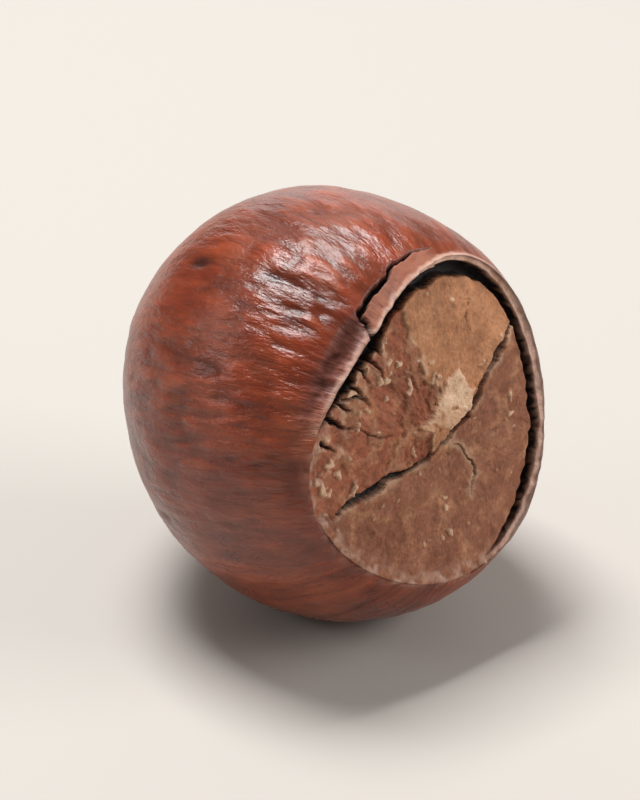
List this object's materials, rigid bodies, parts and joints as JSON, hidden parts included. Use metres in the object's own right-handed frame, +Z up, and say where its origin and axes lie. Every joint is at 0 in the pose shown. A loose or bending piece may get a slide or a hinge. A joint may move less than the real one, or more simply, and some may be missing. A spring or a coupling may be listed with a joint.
{
  "type": "hazelnut",
  "caption": "Round roasted hazelnut in its closed shell, lying on its side, with a cracked base scar and a blunt tip.",
  "frame": {"origin": "centre of the underside of the bounding box, on the surface the nut rests on", "axes": "+Z up from the surface; the base scar faces -Y and looks about 14 degrees upwards; the tip points to +Y"},
  "size_m": [0.0174, 0.0184, 0.019],
  "materials": {
    "shell": "satin"
  },
  "bodies": {
    "root": {"hazelnut": "shell"}
  },
  "joints": []
}
